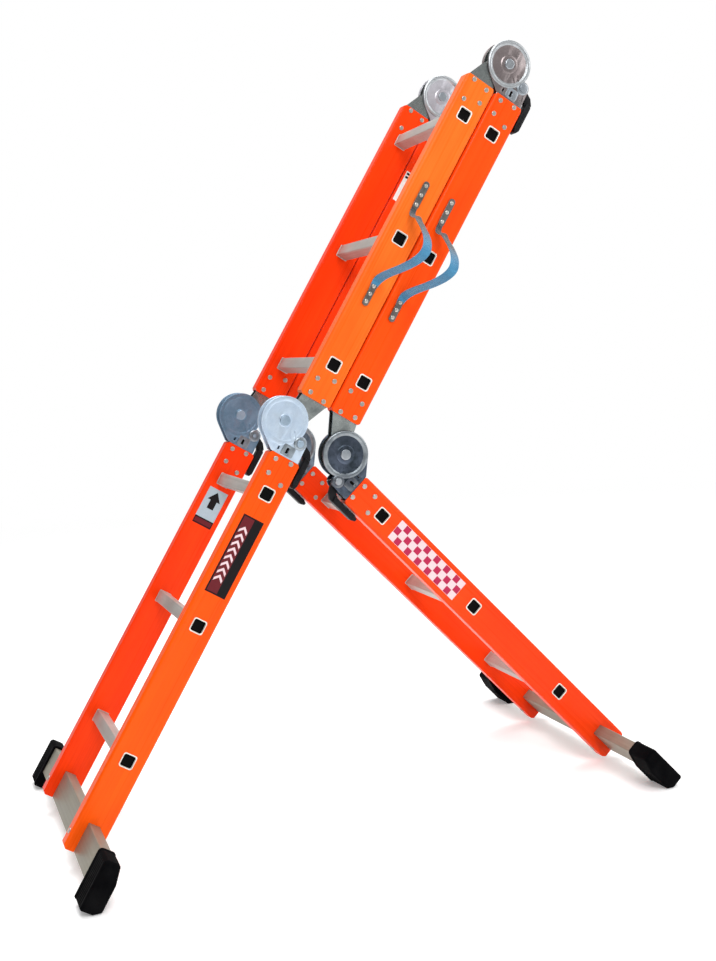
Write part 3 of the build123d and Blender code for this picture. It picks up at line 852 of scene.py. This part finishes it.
def latch_piece(hinge, side):
    """Black bell crank: hub on the pin, nose under the index plates, handle past the stile."""
    sign = side_sign(HINGES[hinge], side)
    piece = Piece(f"{hinge}_lever_{side}", hinge_place(hinge))
    hub = arc(*PIN, 9.5, 60, 330, 24)
    hole = arc(*PIN, 4.1, 0, 330, 11)
    piece.add(plate([hub + [(-19, -44)], hole], *LEVER_DEPTHS, sign, 0.8), PAINT)
    link = rounded([(-17, -53), (-29, -76), (-40, -84), (-52, -84), (-52, -72), (-41, -66),
                    (-33, -53)], 2.5)
    piece.add(plate([link], 8.4, 18.1, sign, 1.0), PAINT)
    arm = rounded([(-24, -41), (-34.5, -21), (-37.5, -12), (-37.5, -4), (-43, -4),
                   (-44.5, -21), (-33, -47)], 1.5)
    piece.add(plate([arm], 8.7, 17.8, sign, 1.0), PAINT)
    nose = box_outline(-43, -37, -12, -4, 1.2)
    piece.add(plate([nose], 4.4, 25.7, sign, 0.6), SPRING_METAL)
    grip = rounded([(-42, -71.5), (-98, -71.5), (-107, -75), (-107, -80), (-100, -84),
                    (-46, -84)], [2, 3, 2.2, 2.2, 3, 4])
    piece.add(plate([grip], 4.0, 26.0, sign, 1.8), PAINT)
    for i in range(RIDGES):
        x = -98 + i * RIDGE_PITCH
        ridge = box_outline(x - 1.2, x + 1.2, -80.6, -75.0, 1.1)
        piece.add(plate([ridge], 3.3, 4.6, sign, 0.5), PAINT)
    body = f"{hinge}_latch_{side}"
    piece.finish(body, "black_latch", [body])


def spring_mesh(sign):
    """Torsion spring: coil round the latch pin with a leg at each end."""
    wire = 0.7           # radius of the wire
    coil = 6.8           # radius of the coil
    path = [Vector((PIN[0] + 13, 19.8, PIN[1] - 11))]
    steps = 60           # twenty to a turn
    for i in range(steps + 1):
        a = math.radians(-20 + i * 18)
        depth = 19.8 + 1.7 * i / steps
        path.append(Vector((PIN[0] + coil * math.cos(a), depth, PIN[1] + coil * math.sin(a))))
    path.append(Vector((PIN[0] - 2, 21.5, PIN[1] + 15)))
    rings = []
    for i, point in enumerate(path):
        ahead = path[min(i + 1, len(path) - 1)] - path[max(i - 1, 0)]
        across = ahead.cross(Vector((0, 1, 0))).normalized()
        over = ahead.cross(across).normalized()
        ring = []
        for k in range(8):
            a = 2 * math.pi * k / 8
            p = point + across * wire * math.cos(a) + over * wire * math.sin(a)
            ring.append((p.x * MM, sign * (HALF - p.y * MM), p.z * MM))
        rings.append(ring)
    return loft(rings)


for hinge, section in HINGES.items():
    springs = Piece(f"{hinge}_coil_springs", hinge_place(hinge))
    for side in SIDES:
        cover_piece(hinge, side)
        latch_piece(hinge, side)
        springs.add(spring_mesh(side_sign(section, side)), SPRING_METAL)
    springs.finish(f"section{section}", "fastener", [f"{hinge}_latch_springs"])


# ---- carry straps: a woven loop held to the left stile by a riveted strip at each end ----
STRAP_WIDTH = 19.0
STRAP_THICK = 1.7
# middle of the webbing: up the stile, and out from its face
STRAP_LINE = ((402, 1.1), (370, 1.1), (345, 1.3), (331, 8), (321, 43), (300, 84), (282, 117),
              (262, 147), (238, 164), (221, 146), (210, 112), (203, 78), (197, 42), (188, 8),
              (172, 1.3), (152, 1.1), (133, 1.1))
STRAP_SHIFT = {2: 3.0, 3: 10.0}
STRAP_DROOP = 9.0
STRAP_TWIST = 26.0
# along the strap: where the twist begins, holds, lets go and ends
TWIST_RUN = (70.0, 90.0, 100.0, 125.0)
CLAMPS = ((405.0, 345.0), (181.0, 130.0))
STRIP_HALF = 6.6
STRIP_DEPTHS = (-3.8, -2.2)
STRIP_RIVET_INSET = 9
GATHER = 0.6             # the webbing is folded to this share of its width under the strips
# where it opens out, from the start, and where it closes, from the end
GATHER_RUN = (56.0, 92.0, 60.0, 24.0)


def smooth_line(points):
    """Points along a NURBS curve of order 3 with the given control points."""
    curve = bpy.data.curves.new("line", "CURVE")
    curve.dimensions = "3D"
    spline = curve.splines.new("NURBS")
    spline.points.add(len(points) - 1)
    for control, point in zip(spline.points, points):
        control.co = (*point, 1)
    spline.order_u = 3
    spline.use_endpoint_u = True
    spline.resolution_u = 6
    holder = bpy.data.objects.new("line", curve)
    mesh = bpy.data.meshes.new_from_object(holder)
    result = [vertex.co.copy() for vertex in mesh.vertices]
    bpy.data.objects.remove(holder)
    bpy.data.curves.remove(curve)
    bpy.data.meshes.remove(mesh)
    return result


def smooth_step(value, start, end):
    t = min(1.0, max(0.0, (value - start) / (end - start)))
    return t * t * (3 - 2 * t)


def strap_piece(number):
    """Loop of webbing with its own UVs, in metres along and across it."""
    shift = STRAP_SHIFT[number]
    line = smooth_line([(x, -HALF / MM - out, shift) for x, out in STRAP_LINE])
    furthest = max(-point.y for point in line) - HALF / MM
    piece = Piece(f"section{number}_webbing_strap", PLACES[number])
    shape = bmesh.new()
    uvs = shape.loops.layers.uv.new("strap")
    half = STRAP_WIDTH / 2
    thick = STRAP_THICK / 2
    section = [(-half, 0.35), (-half + 0.5, 0.85), (-half + 1.4, 1), (-half / 2, 1), (0, 1),
               (half / 2, 1), (half - 1.4, 1), (half - 0.5, 0.85), (half, 0.35), (half, -0.35),
               (half - 0.5, -0.85), (half - 1.4, -1), (half / 2, -1), (0, -1), (-half / 2, -1),
               (-half + 1.4, -1), (-half + 0.5, -0.85), (-half, -0.35)]
    rings = []
    whole = sum((b - a).length for a, b in zip(line, line[1:]))
    run = 0.0
    begin, hold, let_go, end = TWIST_RUN
    opening, opened, closing, closed = GATHER_RUN
    for i, point in enumerate(line):
        out = (-point.y - HALF / MM) / furthest
        if i:
            run += (point - line[i - 1]).length
        ahead = (line[min(i + 1, len(line) - 1)] - line[max(i - 1, 0)]).normalized()
        share = smooth_step(run, begin, hold) * (1 - smooth_step(run, let_go, end))
        twist = math.radians(STRAP_TWIST) * share
        across = Matrix.Rotation(twist, 3, ahead) @ Vector((0, 0, 1))
        over = ahead.cross(across).normalized()
        middle = point + Vector((0, 0, -STRAP_DROOP * max(0, out) ** 1.5))
        ring = []
        spread = smooth_step(run, opening, opened) * smooth_step(whole - run, closed, closing)
        width = GATHER + (1 - GATHER) * spread
        for along, level in section:
            along *= width
            p = middle + across * along + over * thick * level
            ring.append((shape.verts.new(p * MM), (run * MM, along * MM)))
        rings.append(ring)
    for a, b in zip(rings, rings[1:]):
        for i in range(len(a)):
            k = (i + 1) % len(a)
            corners = (a[i], a[k], b[k], b[i])
            face = shape.faces.new([vert for vert, uv in corners])
            for loop, (vert, uv) in zip(face.loops, corners):
                loop[uvs].uv = uv
    for ring in (rings[0], rings[-1]):
        shape.faces.new([vert for vert, uv in ring])
    piece.add(shape, WEBBING)
    body = f"section{number}"
    piece.finish(body, "webbing", [f"section{number}_strap"], 60)


def clamp_piece(number):
    """Strips with rounded ends over the strap's ends, each with three domed rivets."""
    place = PLACES[number] @ Matrix.Translation((0, 0, STRAP_SHIFT[number] * MM))
    piece = Piece(f"section{number}_strap_strips", place)
    for high, low in CLAMPS:
        outline = box_outline(low, high, -STRIP_HALF, STRIP_HALF, STRIP_HALF - 0.6)
        piece.add(plate([outline], *STRIP_DEPTHS, -1, 0.5), STRIP_METAL)
        for x in (low + STRIP_RIVET_INSET, (low + high) / 2, high - STRIP_RIVET_INSET):
            dome = [(4.2, -3.6), (4.0, -4.1), (3.2, -4.6), (1.8, -4.9), (0.01, -5.0)]
            piece.add(turned(dome, x, 0, -1, 20), RIVET_METAL)
    piece.finish(f"section{number}", "strap_clip", [f"section{number}_strap_clamps"])


for number in STRAP_SHIFT:
    strap_piece(number)
    clamp_piece(number)


# ---- printed panels, with plain patterns and no lettering ----
FILM = 0.12              # height of a panel above the stile
LAYER = 0.04             # step from ink to ink, two at most
CHEVRONS = 8
CHEVRON_PITCH = 14.5
CHEQUER_ROWS = 3
CHEQUER_COLUMNS = 13
CHEQUER_SIZE = 15.0
CHEQUER_GAP = 0.6


def panel_spot(number, side, inner):
    """Local y of a panel on a stile's outer face, or on its inner face."""
    sign = side_sign(number, side)
    return sign * (HALF - (STILE_DEPTH + FILM) * MM if inner else HALF + FILM * MM)


def cells(piece, y, boxes):
    """Add flat patches (outline in millimetres, ink); later ones lie a little higher."""
    for layer, (outline, ink) in enumerate(boxes):
        lift = LAYER * MM * (1 if abs(y) > HALF else -1) * min(layer, 2)
        height = y + math.copysign(1, y) * lift
        piece.add(quad([(x * MM, height, z * MM) for x, z in outline]), ink)


def patch(x0, x1, z0, z1):
    return [(x0, z0), (x1, z0), (x1, z1), (x0, z1)]


def chevron(x, z0, z1, width):
    middle = (z0 + z1) / 2
    tip = (z1 - z0) / 2
    return [(x, z0), (x + width, z0), (x + width + tip, middle), (x + width, z1), (x, z1),
            (x + tip, middle)]


def front_panel():
    """Panel split lengthwise: a dark red band with pale chevrons and a black band."""
    piece = Piece("section1_front_panel", PLACES[1])
    boxes = [(patch(346, 508, -22, 22), INK_BLACK), (patch(349, 505, -3, 19), INK_RED)]
    for i in range(CHEVRONS):
        boxes.append((chevron(370 + i * CHEVRON_PITCH, -1, 17, 6.0), INK_PALE))
    cells(piece, panel_spot(1, "left", False), boxes)
    piece.finish("section1", "fibreglass")


def chequer_panel():
    """Chequered panel on the prop section."""
    piece = Piece("section4_chequer_panel", PLACES[4])
    size = CHEQUER_SIZE
    gap = CHEQUER_GAP
    x0 = 424.5 - CHEQUER_COLUMNS * size / 2
    z0 = -CHEQUER_ROWS * size / 2
    boxes = [(patch(x0, x0 + CHEQUER_COLUMNS * size, z0, z0 + CHEQUER_ROWS * size), INK_PALE)]
    for i in range(CHEQUER_COLUMNS):
        for k in range(CHEQUER_ROWS):
            if (i + k) % 2:
                x = x0 + i * size
                z = z0 + k * size
                boxes.append((patch(x + gap, x + size - gap, z + gap, z + size - gap), INK_ROSE))
    cells(piece, panel_spot(4, "left", False), boxes)
    piece.finish("section4", "fibreglass")


def arrow_panel():
    """Pale panel with a plain upward arrow on the inside of the far stile."""
    piece = Piece("section1_arrow_panel", PLACES[1])
    y = panel_spot(1, "right", True)
    boxes = [(patch(452, 536, -22, 22), INK_COOL), (patch(452, 468, -22, 22), INK_BLACK),
             (patch(455, 465, -20, 20), INK_RED), (patch(491, 510, -7.5, 7.5), INK_BLACK),
             ([(510, -15), (530, 0), (510, 15)], INK_BLACK)]
    cells(piece, y, boxes)
    piece.finish("section1", "fibreglass")


def small_panel():
    """Small white panel with two black marks on the inside of section 3's far stile."""
    piece = Piece("section3_small_panel", PLACES[3])
    y = panel_spot(3, "right", True)
    boxes = [(patch(442, 514, 17, 29), INK_WHITE), (patch(498, 503, 19, 27), INK_BLACK),
             (patch(506, 511, 19, 27), INK_BLACK)]
    cells(piece, y, boxes)
    piece.finish("section3", "fibreglass")


front_panel()
chequer_panel()
arrow_panel()
small_panel()


# ---- stage, light and camera ----
PALE = 1.0               # brightness of the backdrop and the far floor
FLOOR_LIFT = 0.22        # keeps the lit floor near the backdrop's brightness
FLOOR_NEAR = 2.2         # the lit floor fades into the backdrop between these distances
FLOOR_FAR = 5.0
FLOOR_REACH = 60.0
ROOM_HEIGHT = (0.3, 1.1, -0.2, 0.9)      # light from below to above, and the heights between
ROOM_DEPTH = (0.5, 1.0, -0.8, 0.6)       # light from in front to behind
ROOM_SIDE = (0.4, 1.1, -0.9, 0.3)        # light from the left to the right
LIGHT_TARGET = (0, 0, 0.8)
LIGHTS = (               # name, place, size in metres, power in watts
    ("key", (-0.4, -3.5, 3.6), (2.2, 2.2), 112),
    ("fill", (3.4, -2.2, 2.2), (2.0, 2.6), 46),
    ("top", (0.2, 0.8, 4.0), (3.0, 2.0), 95),
)
CAMERA_TURN = (20.134494, -6.465690, -3.946429)      # yaw from +Y towards +X, pitch, roll
CAMERA_PLACE = (-0.81117, -2.45544, 0.94147)
CAMERA_LENS = 46.9165
CAMERA_SENSOR = 36.0


def stage():
    """A wide pale floor, lit near the ladder and fading into an even backdrop further out."""
    floor_mesh = bpy.data.meshes.new("floor")
    corners = [(x * FLOOR_REACH, y * FLOOR_REACH, 0)
               for x, y in ((-1, -1), (1, -1), (1, 1), (-1, 1))]
    floor_mesh.from_pydata(corners, [], [(0, 1, 2, 3)])
    floor = bpy.data.objects.new("floor", floor_mesh)
    bpy.context.scene.collection.objects.link(floor)
    pale, tree, surface = shader("pale_floor", (0.92, 0.92, 0.92), 0.95, specular=0.0)
    surface.inputs["Emission Color"].default_value = (1, 1, 1, 1)
    surface.inputs["Emission Strength"].default_value = FLOOR_LIFT
    where = tree.nodes.new("ShaderNodeTexCoord")
    distance = tree.nodes.new("ShaderNodeVectorMath")
    distance.operation = "LENGTH"
    tree.links.new(where.outputs["Object"], distance.inputs[0])
    share = ramp(tree, distance.outputs["Value"], 0.0, 1.0, FLOOR_NEAR, FLOOR_FAR)
    glow = tree.nodes.new("ShaderNodeEmission")
    glow.inputs["Color"].default_value = (1, 1, 1, 1)
    glow.inputs["Strength"].default_value = PALE
    mix = tree.nodes.new("ShaderNodeMixShader")
    tree.links.new(share, mix.inputs["Fac"])
    tree.links.new(surface.outputs["BSDF"], mix.inputs[1])
    tree.links.new(glow.outputs["Emission"], mix.inputs[2])
    tree.links.new(mix.outputs["Shader"], tree.nodes["Material Output"].inputs["Surface"])
    floor_mesh.materials.append(pale)


def area_light(name, location, size, power):
    data = bpy.data.lights.new(name, "AREA")
    data.shape = "RECTANGLE"
    data.size, data.size_y = size
    data.energy = power
    light = bpy.data.objects.new(name, data)
    light.location = location
    aim = Vector(LIGHT_TARGET) - Vector(location)
    light.rotation_euler = aim.to_track_quat("-Z", "Y").to_euler()
    bpy.context.scene.collection.objects.link(light)


def studio():
    """An even pale backdrop; what the ladder reflects is brighter above, behind and right."""
    world = bpy.data.worlds.new("studio")
    world.use_nodes = True
    tree = world.node_tree
    where = tree.nodes.new("ShaderNodeTexCoord")
    split = tree.nodes.new("ShaderNodeSeparateXYZ")
    tree.links.new(where.outputs["Generated"], split.inputs["Vector"])
    level = ramp(tree, split.outputs["Z"], *ROOM_HEIGHT)
    for axis, change in (("Y", ROOM_DEPTH), ("X", ROOM_SIDE)):
        share = ramp(tree, split.outputs[axis], *change)
        product = tree.nodes.new("ShaderNodeMath")
        product.operation = "MULTIPLY"
        tree.links.new(level, product.inputs[0])
        tree.links.new(share, product.inputs[1])
        level = product.outputs[0]
    room = tree.nodes["Background"]
    room.inputs["Color"].default_value = (1.0, 1.0, 1.0, 1)
    tree.links.new(level, room.inputs["Strength"])
    backdrop = tree.nodes.new("ShaderNodeBackground")
    backdrop.inputs["Color"].default_value = (1.0, 1.0, 1.0, 1)
    backdrop.inputs["Strength"].default_value = PALE
    path = tree.nodes.new("ShaderNodeLightPath")
    mix = tree.nodes.new("ShaderNodeMixShader")
    tree.links.new(path.outputs["Is Camera Ray"], mix.inputs["Fac"])
    tree.links.new(room.outputs["Background"], mix.inputs[1])
    tree.links.new(backdrop.outputs["Background"], mix.inputs[2])
    tree.links.new(mix.outputs["Shader"], tree.nodes["World Output"].inputs["Surface"])
    bpy.context.scene.world = world


def camera():
    """Camera at the photograph's place."""
    yaw, pitch, roll = (math.radians(angle) for angle in CAMERA_TURN)
    ahead = Vector((math.sin(yaw) * math.cos(pitch), math.cos(yaw) * math.cos(pitch),
                    math.sin(pitch)))
    right = Vector((math.cos(yaw), -math.sin(yaw), 0))
    over = right.cross(ahead)
    turned_right = right * math.cos(roll) + over * math.sin(roll)
    turned_over = over * math.cos(roll) - right * math.sin(roll)
    data = bpy.data.cameras.new("camera")
    data.lens = CAMERA_LENS
    data.sensor_width = CAMERA_SENSOR
    data.sensor_fit = "AUTO"
    data.clip_end = 200
    view = bpy.data.objects.new("camera", data)
    place = Matrix((turned_right, turned_over, -ahead)).transposed().to_4x4()
    place.translation = CAMERA_PLACE
    view.matrix_world = place
    bpy.context.scene.collection.objects.link(view)
    bpy.context.scene.camera = view


stage()
studio()
for light_row in LIGHTS:
    area_light(*light_row)
camera()
bpy.context.scene.view_settings.view_transform = "Standard"
